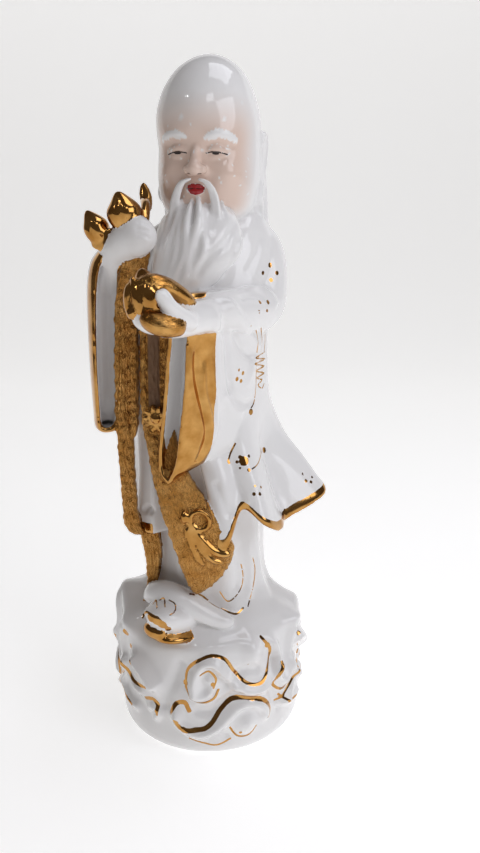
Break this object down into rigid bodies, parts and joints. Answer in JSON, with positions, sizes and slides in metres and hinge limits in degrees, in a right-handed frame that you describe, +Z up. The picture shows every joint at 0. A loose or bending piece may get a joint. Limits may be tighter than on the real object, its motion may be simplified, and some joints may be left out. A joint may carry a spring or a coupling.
{
  "type": "porcelain figure of an old man of long life",
  "caption": "Standing glazed porcelain figure of a bald, long-bearded old man holding gilt peaches, in a gilded robe, on a round foot carved with waves.",
  "frame": {"origin": "middle of the flat underside of the round foot", "axes": "+Z up, the long way of the figure; -Y the way he faces; +X his left"},
  "size_m": [0.1372, 0.1612, 0.4001],
  "materials": {
    "porcelain": "clear glossy glaze over white porcelain, with fired gilding"
  },
  "bodies": {
    "root": {"longevity_figure": "porcelain"}
  },
  "joints": []
}
